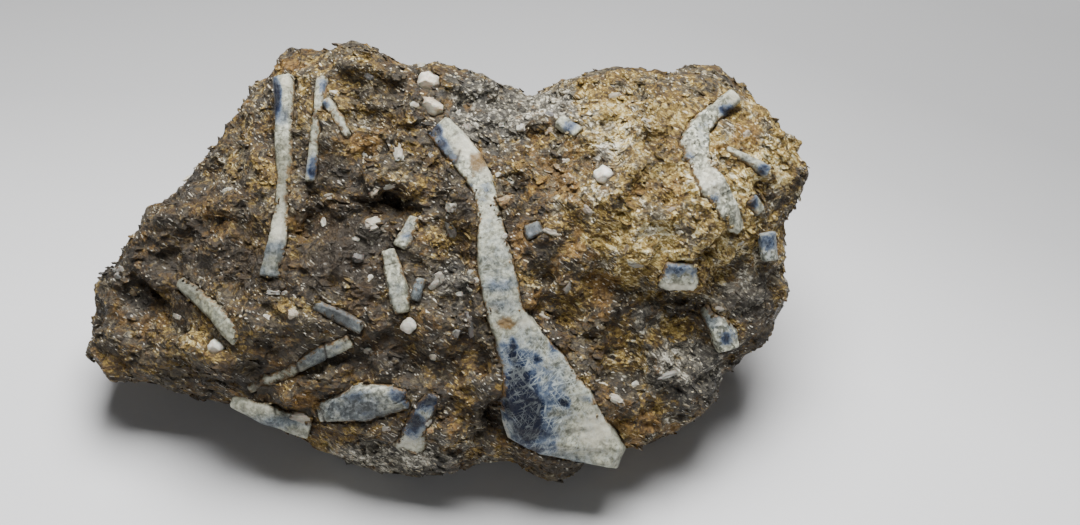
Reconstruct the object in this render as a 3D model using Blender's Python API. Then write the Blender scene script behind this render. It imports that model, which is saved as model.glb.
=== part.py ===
"""Sapphire on matrix: a broken lump of mica schist with grey-blue sapphire crystals grown in it.

The lump is one piece of rock. Each crystal that stands alone is a solid of its own, seated in a
pocket of the rock with a hair of clearance. Crystals grown together are one solid.

Two frames are used. The part's own frame is metres, +Z up, with the rock's flat rest on z = 0.
The face frame is millimetres and lies on the crystal-bearing face, which leans back FACE_LEAN
from upright: u runs right, v runs up the face, w stands out of it. Places on the face are given
as they look from EYE, a point in front of it.
"""

import math
from functools import partial
from typing import NamedTuple

import bmesh
import bpy
from mathutils import Matrix, Vector, noise
from mathutils.geometry import intersect_line_line_2d

MM = 0.001
FACE_LEAN = math.radians(50)
FACE_TO_WORLD = Matrix.Rotation(math.pi / 2 - FACE_LEAN, 4, "X") @ Matrix.Scale(MM, 4)
EYE = Vector((13.5, 1.1, 320))
REST_DEPTH = 22.0  # from the middle of the face straight down to the flat rest
CLEARANCE = 0.3


class Crystal(NamedTuple):
    """A six-sided crystal that lies in the face of the rock."""

    stations: list  # (u, v, width) along its length
    thickness: float = 0.85  # over its width
    stands: float = 0.5  # how far its top face is above the rock's smooth skin
    face: float = 0.62  # its top face's share of its width
    slant: float = 0.0  # how far its last end leans askew, per mm across


SKIN_SUBDIVISIONS = 7
MATRIX_TRIANGLES = 6200

# The lump's outline round the face, clockwise from the left-hand tip.
RIM = [
    (-54.5, -12), (-54.3, -7.3), (-52.9, -4.5), (-53.3, -2.5), (-52, 0), (-49.3, 1.3),
    (-47.5, 4), (-45.3, 7), (-45, 9.2), (-42.5, 10), (-38.5, 14), (-36, 17.3),
    (-32.5, 21.5), (-31, 25), (-28.4, 27.4), (-27, 29.2), (-25.5, 32.3), (-22, 33.1),
    (-18, 33.2), (-15.1, 34.6), (-12.5, 33.5), (-8.5, 31.5), (-4.5, 31), (4.8, 29),
    (8.5, 27.5), (11.5, 26.3), (14.5, 26.9), (19, 28.8), (22, 30), (27, 30.5), (31, 29.9),
    (33.5, 28.7), (35.5, 30.2), (39.5, 30.3), (42, 28.8), (47.5, 24.3), (50.5, 21.5),
    (52, 18.2), (54, 16.5), (54.3, 14), (52.5, 10.5), (50, 6.3), (50.6, 2), (50, 0),
    (50.9, -3), (49.2, -7), (47.5, -10.5), (43.5, -13), (41.3, -16), (40.5, -19.5),
    (37, -22.2), (32, -25), (28.5, -26.2), (22, -27.5), (18, -31), (15.9, -32),
    (12, -30.3), (9.3, -28.6), (4.5, -29), (-3, -30.8), (-8, -31.2), (-13.5, -30.2),
    (-20.3, -27), (-21.8, -25), (-26, -23.5), (-33, -20), (-38.5, -18.5), (-50.5, -15.5),
]
# The rim lies on a plane that crosses the face: its depth in the middle and per mm of u and v.
RIM_DEPTH, RIM_PER_U, RIM_PER_V = -2.5, 0.05, -0.09

FRONT_SWELL = 16.0
BACK_SWELL = 25.0
DOME_POWER = 3.0  # how squarely the lump turns over at its rim

# Hollows and swellings of the front: middle (u, v), reach along u and v, height.
FRONT_RELIEF = [
    ((32, 8), (15, 9), 5.5),  # right shoulder
    ((33, -13), (11, 7), -5.0),  # undercut below the shoulder
    ((47, -6), (5, 7), -3.0),
    ((12, 25), (8, 6), -5.0),  # saddle between the two crests
    ((-16, 26), (10, 6), 2.5),  # left crest
    ((-7.5, 9.8), (3.4, 2.2), -4.5),  # dark pit
    ((1.8, 4.5), (1.5, 3.5), -2.5),  # pit beside the long crystal
    ((-46, -5), (9, 9), -5.5),  # thin left-hand tip
    ((-40, 5), (6, 5), -2.0),
    ((-12, -14), (12, 4), -2.0),
    ((-30, -8), (9, 5), 1.5),
    ((24, -6), (5, 4), 1.2),
    ((-33, 14), (6, 5), 1.6),
    ((14, 10), (9, 5), -1.2),
]
# Swellings of the back, seen through the lump from the front.
BACK_RELIEF = [
    ((-46, -8), (12, 12), -11.0),
    ((46, 6), (10, 14), -8.0),
    ((-20, 26), (14, 8), -9.0),
    ((28, 25), (14, 7), -8.0),
    ((2, 27), (9, 8), -11.0),
    ((-32, 12), (9, 8), 3.5),
    ((20, 5), (12, 7), 3.0),
]
# Broken ledges: a line across the face (left end, right end) and how far the rock steps
# back below it.
LEDGES = [
    ((19.0, -0.4), (40.5, -4.6), 5.5),
    ((36.5, -5.0), (48.5, 6.0), 4.2),
    ((9.0, -7.0), (22.0, -3.0), 2.2),
    ((40.0, -13.5), (49.0, -8.0), 2.4),
    ((-53, 0.0), (-34, 5.5), 2.6),
    ((-29, -16.0), (-10, -10.5), 2.6),
    ((-50, -12.5), (-30, -16.5), 1.8),
    ((40, 18.0), (54, 9.0), 2.4),
    ((7, 20.5), (27, 23.0), 2.2),
    ((-46, 5.0), (-27, 11.5), 2.2),
    ((14, 10.0), (36, 6.0), 2.0),
    ((-25, 8.0), (-4, 13.5), 2.2),
    ((-19, 24.0), (-3, 22.5), 1.5),
    ((-14, -26.5), (6, -24.5), 2.0),
]
LEDGE_FADE = 7.0

# Flat breaks at the back and under the front: a direction out of the lump, and how far the
# break lies from the middle of the face that way.
BREAKS = [
    (Vector((-0.10, 0.45, -0.89)), 23.0),
    (Vector((0.62, 0.10, -0.78)), 36.0),
    (Vector((-0.55, 0.15, -0.82)), 37.0),
    (Vector((0.20, -0.80, -0.57)), 28.8),
    (Vector((-0.35, -0.75, -0.56)), 31.0),
]
BREAK_FLATNESS = 0.85

FOLIATION = Vector((0.22, 0.86, 0.46)).normalized()  # the schist splits across this direction
STRATUM, STRATUM_STEP = 5.2, 1.3
CHUNK, CHUNK_STEP, CHUNK_SLANT = 9.0, 1.7, 2.6
CRUMB, CRUMB_STEP, CRUMB_SLANT = 4.0, 0.7, 0.9

# Sapphires, each lofted through its stations: (u, v, width).
SAPPHIRES = {
    "sapphire_main": Crystal(
        [
            (-1.8, 21.3, 3.9), (0.8, 18.8, 4.2), (3.0, 15.9, 4.1), (4.8, 13.3, 3.4),
            (5.5, 10.8, 3.0), (5.7, 8.3, 3.4), (6.7, 3.8, 4.8), (7.4, -3, 5.5),
            (7.8, -6, 5.6), (9.7, -9.1, 6.4), (11.5, -12, 9.1), (14.3, -17.9, 13.0),
            (16.1, -22.2, 14.4), (17.5, -25.6, 14.9), (18.9, -28.4, 9.8),
        ],
        thickness=0.6, stands=0.8, face=0.84, slant=0.75,
    ),
    "sapphire_left_blade": Crystal(
        [
            (-25.1, 28.8, 3.3), (-25.1, 22.2, 2.4), (-24.8, 19.1, 2.9), (-25, 13.5, 1.8),
            (-25, 10.2, 1.9), (-26.1, 3.5, 2.6), (-27.2, -0.8, 3.2),
        ],
        stands=0.6,
    ),
    "sapphire_needle": Crystal(
        [(-19.1, 28.5, 1.6), (-19.6, 24.4, 1.3), (-20.0, 20.4, 1.2), (-20.9, 13.4, 1.3)],
        thickness=1.1, stands=0.75,
    ),
    "sapphire_splinter": Crystal(
        [(-18.6, 25.4, 1.2), (-17.1, 23.3, 1.7), (-15.3, 20.1, 0.8)], thickness=1.1
    ),
    "sapphire_green_blade": Crystal(
        [
            (-40.4, -2.0, 1.7), (-37.9, -4.1, 2.3), (-35.2, -6.4, 2.6), (-32.9, -8.7, 3.5),
            (-32.0, -10.7, 1.6),
        ],
        face=0.5,
    ),
    "sapphire_jointed_rod": Crystal(
        [
            (-15, -10.6, 1.9), (-16.8, -11.5, 2.3), (-22.8, -14.1, 2.4), (-24.6, -15.4, 2.7),
            (-30, -17.7, 1.3),
        ],
    ),
    "sapphire_lower_edge": Crystal(
        [(-32.6, -19.8, 1.4), (-29, -21.3, 2.8), (-21.2, -23.4, 3.7)], stands=0.7
    ),
    "sapphire_grey_barrel": Crystal(
        [
            (-19.4, -21.2, 3.0), (-16.8, -20.9, 4.3), (-13, -19.8, 5.8), (-9.2, -19.6, 4.5),
            (-6.4, -19.2, 2.8),
        ],
        stands=0.9,
    ),
    "sapphire_blue_stub": Crystal(
        [(-2.5, -18.8, 1.8), (-3.8, -21.2, 2.9), (-5.4, -23.8, 4.4), (-6.0, -26.2, 5.4)],
        thickness=0.7, stands=0.6,
    ),
    "sapphire_right_bent": Crystal(
        [
            (42.8, 26.2, 2.0), (40.2, 24.0, 2.5), (37.2, 21.6, 3.2), (35.9, 18.6, 4.3),
            (37.7, 15.6, 4.0), (39.4, 12.4, 5.1), (40.9, 9.3, 4.2), (43.4, 6.0, 1.5),
        ],
        face=0.76,
    ),
    "sapphire_right_splinter": Crystal(
        [(41.6, 18, 0.9), (44.6, 16.6, 1.2), (47.6, 14.9, 1.7)], thickness=1.1, stands=0.4
    ),
    "sapphire_right_block": Crystal([(45.2, 10.7, 2.1), (46.2, 8.9, 2.2)], thickness=1.0),
    "sapphire_right_edge": Crystal([(47.5, 5.4, 2.4), (47.9, 1.6, 2.2)], thickness=1.0),
    "sapphire_ledge": Crystal([(34.6, 0.7, 4.2), (34.3, -2.6, 6.3)], thickness=0.6, stands=0.7),
    "sapphire_lower_right": Crystal(
        [(38.1, -5.5, 1.8), (40, -8, 2.8), (41.5, -10.1, 3.8), (41.8, -12.0, 3.0)], stands=0.8
    ),
    "sapphire_centre_short": Crystal([(-5.2, 7.6, 1.5), (-7.4, 3.5, 2.3)], stands=0.7),
    "sapphire_centre_long": Crystal(
        [(-9.3, 2.8, 1.8), (-8.4, -0.6, 2.6), (-7.8, -3.4, 2.9), (-7.1, -6.3, 1.9)], stands=0.7
    ),
    "sapphire_centre_side": Crystal([(-4.4, -1.4, 1.2), (-5.2, -4.4, 1.2)], thickness=1.0),
    "sapphire_dark_rod": Crystal([(-20.2, -5.3, 1.3), (-16.6, -6.8, 2.0), (-13.2, -8.7, 1.8)]),
    "sapphire_upper_stub": Crystal([(16.4, 22.3, 1.8), (19.1, 20.6, 2.2)]),
    "sapphire_hexagon": Crystal([(12.3, 6.6, 2.9), (12.9, 5.0, 2.9)], thickness=1.0, stands=0.8),
}
DEEPEST_REACH = 0.9  # past this share of the way to the rim a crystal runs straight on

# Feldspar and quartz grains: middle (u, v), width, height up the face.
GRAINS = {
    "feldspar_crest_upper": ((-3.0, 28.0), 4.0, 3.4),
    "feldspar_crest_lower": ((-2.9, 24.3), 4.0, 2.4),
    "feldspar_cube": ((23.1, 14.1), 2.7, 2.8),
    "quartz_bead": ((-6.2, -8.4), 2.1, 2.1),
    "quartz_left": ((-35.2, -11.8), 2.5, 2.5),
}
GRAIN_STANDS = 0.45  # the share of a grain that stands out of the rock

MATERIALS = {
    "matrix": ((0.16, 0.10, 0.055), 0.55, 0.15),
    "sapphire": ((0.42, 0.47, 0.50), 0.40, 0.0),
    "sapphire_blue": ((0.20, 0.27, 0.42), 0.38, 0.0),
    "feldspar": ((0.66, 0.62, 0.50), 0.45, 0.0),
}
BLUE = {"sapphire_blue_stub", "sapphire_right_edge", "sapphire_ledge", "sapphire_right_block"}


def clear_scene():
    for obj in list(bpy.data.objects):
        bpy.data.objects.remove(obj, do_unlink=True)


def new_collection(name):
    found = bpy.data.collections.new(name)
    bpy.context.scene.collection.children.link(found)
    return found


def make_material(name):
    colour, roughness, metallic = MATERIALS[name]
    material = bpy.data.materials.new(name)
    material.use_nodes = True
    shader = material.node_tree.nodes["Principled BSDF"]
    shader.inputs["Base Color"].default_value = (*colour, 1)
    shader.inputs["Roughness"].default_value = roughness
    shader.inputs["Metallic"].default_value = metallic
    return material


def smoothstep(x):
    x = min(max(x, 0.0), 1.0)
    return x * x * (3 - 2 * x)


def rim_radius(angle):
    """How far the rim is from the middle of the face, in the direction of angle."""
    middle = Vector((0, 0))
    far = Vector((math.cos(angle), math.sin(angle))) * 100
    found = [
        hit.length
        for start, end in zip(RIM, RIM[1:] + RIM[:1])
        if (hit := intersect_line_line_2d(middle, far, Vector(start), Vector(end)))
    ]
    return max(found)


def swellings(relief, u, v):
    """The sum of the relief's soft-edged swellings at (u, v)."""
    return sum(
        height * math.exp(-((u - at[0]) / reach[0]) ** 2 - ((v - at[1]) / reach[1]) ** 2)
        for at, reach, height in relief
    )


def ledges(u, v):
    """How far broken ledges set the front back at (u, v): nothing above each, then a step."""
    total = 0.0
    for (left_u, left_v), (right_u, right_v), step in LEDGES:
        along = (u - left_u) / (right_u - left_u)
        if not 0 < along < 1:
            continue
        wave = 0.9 * noise.noise(Vector((u / 4, left_u, 0)))
        below = left_v + (right_v - left_v) * along + wave - v
        ends = smoothstep(6 * along) * smoothstep(6 * (1 - along))
        total += step * ends * smoothstep(below / 0.6 + 0.5) * math.exp(-max(below, 0) / LEDGE_FADE)
    return total


def skin(u, v, front=True, deepest=1.0):
    """The lump's smooth skin in the face frame, at the place seen at (u, v)."""
    reach = math.hypot(u, v) / rim_radius(math.atan2(v, u))
    dome = (1 - min(reach, deepest) ** DOME_POWER) ** 0.5
    w = RIM_DEPTH + RIM_PER_U * u + RIM_PER_V * v
    if front:
        w += (FRONT_SWELL + swellings(FRONT_RELIEF, u, v) - ledges(u, v)) * dome
    else:
        w -= (BACK_SWELL + swellings(BACK_RELIEF, u, v)) * dome
    return seen_at(u, v, w)


def seen_at(u, v, w):
    """The point at depth w that is seen at (u, v) from the eye."""
    return Vector((u, v, 0)).lerp(EYE, w / EYE.z)


def place_seen(point):
    """The (u, v) at which a point is seen from the eye."""
    seen = EYE + (point - EYE) / (1 - point.z / EYE.z)
    return seen.x, seen.y


def broken_off(point):
    """How far the flat breaks set a point in."""
    total = Vector()
    for direction, distance in BREAKS:
        direction = direction.normalized()
        beyond = (point - total).dot(direction) - distance
        total += direction * max(beyond, 0) * BREAK_FLATNESS
    return total


def broken_cells(point, size, step, slant):
    """A step and a slant for each cell of a broken surface: flat faces that meet in edges."""
    place = point / size
    nearest = noise.voronoi(place)[1][0]
    chance = noise.cell_vector(nearest * 7.3) - Vector((0.5, 0.5, 0.5))
    tilt = Vector((chance.y, chance.z, chance.x)).dot(place - nearest)
    return 2 * (step * chance.x + slant * tilt)


def strata(point):
    """Ledges along the foliation: each layer wears back and then drops to the next."""
    warp = 2.4 * noise.noise(point / 17)
    layer = (point.dot(FOLIATION) + warp) / STRATUM
    share = layer - math.floor(layer)
    strength = 0.5 + noise.noise(point / 11 + Vector((9, 0, 0)))
    return STRATUM_STEP * strength * (share**2 - 0.4)


def distance_to_crystals(u, v):
    """How far (u, v) is outside the nearest crystal's edge, on the face."""
    nearest = 100.0
    for crystal in SAPPHIRES.values():
        for (u0, v0, width0), (u1, v1, width1) in zip(crystal.stations, crystal.stations[1:]):
            span = Vector((u1 - u0, v1 - v0))
            along = Vector((u - u0, v - v0)).dot(span) / span.length_squared
            along = min(max(along, 0.0), 1.0)
            off = math.hypot(u - u0 - span.x * along, v - v0 - span.y * along)
            nearest = min(nearest, off - (width0 + (width1 - width0) * along) / 2)
    return nearest


def make_lump(collection):
    """The lump's skin: a ball pulled out to the rim, swollen, and broken along its layers."""
    shape = bmesh.new()
    bmesh.ops.create_icosphere(shape, subdivisions=SKIN_SUBDIVISIONS, radius=1)
    for vert in shape.verts:
        x, y, z = vert.co.normalized()
        reach, angle = math.hypot(x, y), math.atan2(y, x)
        radius = rim_radius(angle) * reach
        vert.co = skin(radius * math.cos(angle), radius * math.sin(angle), front=z >= 0)
        vert.co -= broken_off(vert.co)
    shape.normal_update()
    moves = []
    for vert in shape.verts:
        u, v = place_seen(vert.co)
        facing = vert.normal.z
        rough = 0.18 + 0.82 * abs(facing)  # the rim keeps its outline
        if facing > 0:
            rough *= 0.25 + 0.75 * smoothstep(distance_to_crystals(u, v) / 3)
        wear = strata(vert.co)
        wear += broken_cells(vert.co, CHUNK, CHUNK_STEP, CHUNK_SLANT)
        wear += broken_cells(vert.co + Vector((40, 0, 0)), CRUMB, CRUMB_STEP, CRUMB_SLANT)
        moves.append(vert.normal * wear * rough)
    for vert, move in zip(shape.verts, moves):
        vert.co += move
    return add_object("matrix", shape, collection)


def add_object(name, shape, collection):
    """A bmesh in the face frame becomes a closed mesh object in the part's frame."""
    shape.transform(FACE_TO_WORLD)
    mesh = bpy.data.meshes.new(name)
    shape.to_mesh(mesh)
    shape.free()
    obj = bpy.data.objects.new(name, mesh)
    collection.objects.link(obj)
    return obj


def out_of_face(stations):
    """The way the rock's skin faces under a crystal, evened out along its length."""
    total = Vector()
    for u, v, width in stations:
        span = max(width, 3.0)
        across = skin(u + span, v, deepest=DEEPEST_REACH) - skin(u - span, v, deepest=DEEPEST_REACH)
        upward = skin(u, v + span, deepest=DEEPEST_REACH) - skin(u, v - span, deepest=DEEPEST_REACH)
        total += across.cross(upward).normalized()
    return total.normalized()


def section(face):
    """Corundum's six-sided section: across and out, as shares of width and thickness."""
    top, side = face / 2, 0.1
    return [(top, 0.5), (-top, 0.5), (-0.5, side), (-0.32, -0.5), (0.32, -0.5), (0.5, side)]


def crystal_shape(crystal, grown=0.0):
    """A six-sided crystal lofted through its stations; grown is added on every side."""
    out = out_of_face(crystal.stations)
    centres = [
        skin(u, v, deepest=DEEPEST_REACH) + out * (crystal.stands - width * crystal.thickness / 2)
        for u, v, width in crystal.stations
    ]
    evened = [(a + 2 * b + c) / 4 for a, b, c in zip(centres, centres[1:], centres[2:])]
    centres = centres[:1] + evened + centres[-1:]
    shape = bmesh.new()
    rings = []
    for index, (centre, (_, _, width)) in enumerate(zip(centres, crystal.stations)):
        ahead = centres[min(index + 1, len(centres) - 1)] - centres[max(index - 1, 0)]
        ahead.normalize()
        across = ahead.cross(out).normalized()
        upright = across.cross(ahead)
        done = index / (len(centres) - 1)
        centre = centre + ahead * grown * ((done == 1) - (done == 0))
        across = across - ahead * crystal.slant * done**3
        wide, thick = width + 2 * grown, width * crystal.thickness + 2 * grown
        ring = [centre + across * a * wide + upright * b * thick for a, b in section(crystal.face)]
        rings.append([shape.verts.new(place) for place in ring])
    close_loft(shape, rings)
    return shape


def close_loft(shape, rings):
    """Faces between each ring and the next, and over both ends."""
    for ring, following in zip(rings, rings[1:]):
        for side in range(len(ring)):
            after = (side + 1) % len(ring)
            shape.faces.new((ring[side], following[side], following[after], ring[after]))
    shape.faces.new(rings[0])
    shape.faces.new(list(reversed(rings[-1])))
    bmesh.ops.triangulate(shape, faces=shape.faces)


def grain_shape(at, width, height, grown=0.0):
    """A blunt grain: a coarse ball, squared off, with its own broken corners."""
    shape = bmesh.new()
    bmesh.ops.create_icosphere(shape, subdivisions=2, radius=0.5)
    middle = skin(*at, deepest=DEEPEST_REACH)
    out = out_of_face([(*at, width)])
    middle += out * width * (GRAIN_STANDS - 0.5)
    turn = out.to_track_quat("Z", "Y").to_matrix()
    for vert in shape.verts:
        squared = vert.co / max(abs(x) for x in vert.co) * 0.42
        corner = vert.co.lerp(squared, 0.6)
        corner *= 1 + 0.16 * noise.noise(vert.co * 3 + Vector((at[0], at[1], 0)))
        size = Vector((width, height, width)) + Vector((2, 2, 2)) * grown
        vert.co = middle + turn @ Vector(c * s for c, s in zip(corner, size))
    return shape


def seat(rock, name, build, material, parts, cutters):
    """Adds a crystal or grain, and cuts its pocket in the rock."""
    piece = add_object(name, build(0.0), parts)
    piece.data.materials.append(material)
    cutter = add_object(name + "_pocket", build(CLEARANCE), cutters)
    cutter.hide_render = True
    cutter.display_type = "WIRE"
    pocket = rock.modifiers.new(name, "BOOLEAN")
    pocket.operation = "DIFFERENCE"
    pocket.object = cutter


def thin_out(rock):
    """Fewer triangles, kept where the surface turns."""
    thin = rock.modifiers.new("thin_out", "DECIMATE")
    thin.ratio = MATRIX_TRIANGLES / len(rock.data.polygons)
    apply_modifiers(rock)


def cut_rest(rock, cutters):
    """The flat that the lump lies on."""
    bpy.ops.mesh.primitive_cube_add(size=1)
    floor = bpy.context.object
    floor.name = "rest_cutter"
    for other in list(floor.users_collection):
        other.objects.unlink(floor)
    cutters.objects.link(floor)
    floor.scale = (0.3, 0.3, 0.05)
    floor.location = (0, 0, -REST_DEPTH * MM - 0.025)
    floor.hide_render = True
    floor.display_type = "WIRE"
    cut = rock.modifiers.new("rest", "BOOLEAN")
    cut.operation = "DIFFERENCE"
    cut.object = floor


def apply_modifiers(obj):
    """The evaluated mesh takes the place of the mesh and its modifiers."""
    graph = bpy.context.evaluated_depsgraph_get()
    mesh = bpy.data.meshes.new_from_object(obj.evaluated_get(graph))
    obj.modifiers.clear()
    obj.data = mesh


def drop_crumbs(rock):
    """Cutting pockets can free crumbs at their edges: only the lump itself is kept."""
    shape = bmesh.new()
    shape.from_mesh(rock.data)
    bodies, left = [], set(shape.verts)
    while left:
        body, edge = set(), [left.pop()]
        while edge:
            vert = edge.pop()
            body.add(vert)
            near = {e.other_vert(vert) for e in vert.link_edges} & left
            left -= near
            edge += near
        bodies.append(body)
    bodies.sort(key=len)
    crumbs = [vert for body in bodies[:-1] for vert in body]
    bmesh.ops.delete(shape, geom=crumbs, context="VERTS")
    shape.to_mesh(rock.data)
    shape.free()


def stand_on_origin(collection):
    """Moves every part so that the whole stands centred on the origin, its rest on z = 0."""
    bpy.context.view_layer.update()
    corners = [obj.matrix_world @ Vector(c) for obj in collection.objects for c in obj.bound_box]
    low, high = (Vector(map(pick, zip(*corners))) for pick in (min, max))
    shift = Vector(((low.x + high.x) / 2, (low.y + high.y) / 2, low.z))
    for obj in collection.objects:
        obj.data.transform(Matrix.Translation(-shift))
    print("face middle in the part's frame, mm:", [round(x / MM, 2) for x in -shift])


def main():
    clear_scene()
    parts = new_collection("sapphire_on_matrix")
    cutters = new_collection("cutters")
    materials = {name: make_material(name) for name in MATERIALS}
    rock = make_lump(parts)
    thin_out(rock)
    rock.data.materials.append(materials["matrix"])
    cut_rest(rock, cutters)
    for name, crystal in SAPPHIRES.items():
        material = materials["sapphire_blue" if name in BLUE else "sapphire"]
        seat(rock, name, partial(crystal_shape, crystal), material, parts, cutters)
    for name, grain in GRAINS.items():
        seat(rock, name, partial(grain_shape, *grain), materials["feldspar"], parts, cutters)
    apply_modifiers(rock)
    drop_crumbs(rock)
    stand_on_origin(parts)


main()
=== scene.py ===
import math

import bpy
import numpy as np
from mathutils import Matrix, Vector, noise
from mathutils.bvhtree import BVHTree


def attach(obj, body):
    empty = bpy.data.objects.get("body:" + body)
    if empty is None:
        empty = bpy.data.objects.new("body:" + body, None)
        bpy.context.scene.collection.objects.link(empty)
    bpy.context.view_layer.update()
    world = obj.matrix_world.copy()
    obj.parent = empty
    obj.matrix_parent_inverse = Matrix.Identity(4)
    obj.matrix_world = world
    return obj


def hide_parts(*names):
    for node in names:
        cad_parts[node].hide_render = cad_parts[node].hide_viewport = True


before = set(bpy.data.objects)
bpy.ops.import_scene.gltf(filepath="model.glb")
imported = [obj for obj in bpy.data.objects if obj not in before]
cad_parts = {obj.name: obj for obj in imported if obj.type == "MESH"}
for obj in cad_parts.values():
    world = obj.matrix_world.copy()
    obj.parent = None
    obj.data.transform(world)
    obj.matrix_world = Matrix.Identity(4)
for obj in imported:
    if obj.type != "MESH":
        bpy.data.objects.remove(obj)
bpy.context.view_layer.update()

# Lengths are in millimetres, and Blender's own in metres. The face frame lies on the face with
# the crystals: u runs right, v up the face, w out of it. Places on the face are given as (u, v),
# where they look to be from EYE, a point in front of it.
MM = 0.001
EYE = Vector((13.5, 1.1, 320))
FACE_LEAN = math.radians(50)
FACE_TURN = Matrix.Rotation(math.pi / 2 - FACE_LEAN, 3, "X")
FACE_MIDDLE = Vector((0.65, -2.7, 22)) * MM
TURN, MIDDLE = np.array(FACE_TURN), np.array(FACE_MIDDLE)
FRONT = 60  # a depth w that is in front of all of the specimen

# Directions of the face frame: across the rock's layers, across the loose mica plates, and
# along the plates' longer side.
FOLIATION = Vector((0.22, 0.86, 0.46)).normalized()
SPLIT_WAY = Vector((0.52, 0.8, 0.3)).normalized()
STREAK_WAY = Vector((0.84, -0.54, 0)).normalized()


# ---- places on the face
def to_face(points):
    """Points of the part (n, 3) in metres, as face-frame millimetres."""
    return (points - MIDDLE) @ TURN / MM


def from_face(points):
    """Face-frame points (n, 3) in millimetres, as metres in the part's frame."""
    return points * MM @ TURN.T + MIDDLE


def seen_places(face_points):
    """Where the eye sees each face-frame point: (n, 2), u right and v up."""
    eye = np.array(EYE)
    away = 1 - face_points[:, 2:] / eye[2]
    return (eye + (face_points - eye) / away)[:, :2]


def spots(places, patches):
    """For each place, the largest of the soft spots (u, v, reach_u, reach_v, amount)."""
    total = np.zeros(len(places))
    for u, v, reach_u, reach_v, amount in patches:
        off = ((places[:, 0] - u) / reach_u) ** 2 + ((places[:, 1] - v) / reach_v) ** 2
        total = np.maximum(total, amount * np.exp(-off))
    return total


def strokes(places, lines):
    """For each place, the largest of the soft strokes (u0, v0, u1, v1, half_width, amount)."""
    total = np.zeros(len(places))
    for u0, v0, u1, v1, half_width, amount in lines:
        start, span = np.array((u0, v0)), np.array((u1 - u0, v1 - v0))
        along = np.clip((places - start) @ span / (span @ span), 0, 1)
        off = np.linalg.norm(places - start - along[:, None] * span, axis=1) / half_width
        total = np.maximum(total, amount * np.exp(-(off**2)))
    return total


def part_way(u, v, w):
    """A direction of the face frame, as one of the part."""
    return tuple(FACE_TURN @ Vector((u, v, w)).normalized())


def way_at(degrees, w=0):
    """The direction on the face at an angle from u to v, as one of the part."""
    angle = math.radians(degrees)
    return FACE_TURN @ Vector((math.cos(angle), math.sin(angle), w))


def unit(vectors):
    return vectors / np.linalg.norm(vectors, axis=1, keepdims=True)


def seen_on(tree, u, v):
    """Where the surface is seen at (u, v), and its normal there, in the part's frame."""
    start, end = (
        FACE_MIDDLE + FACE_TURN @ (Vector((u, v, 0)).lerp(EYE, w / EYE.z) * MM) for w in (FRONT, 0)
    )
    return tree.ray_cast(start, end - start)[:2]


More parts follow.
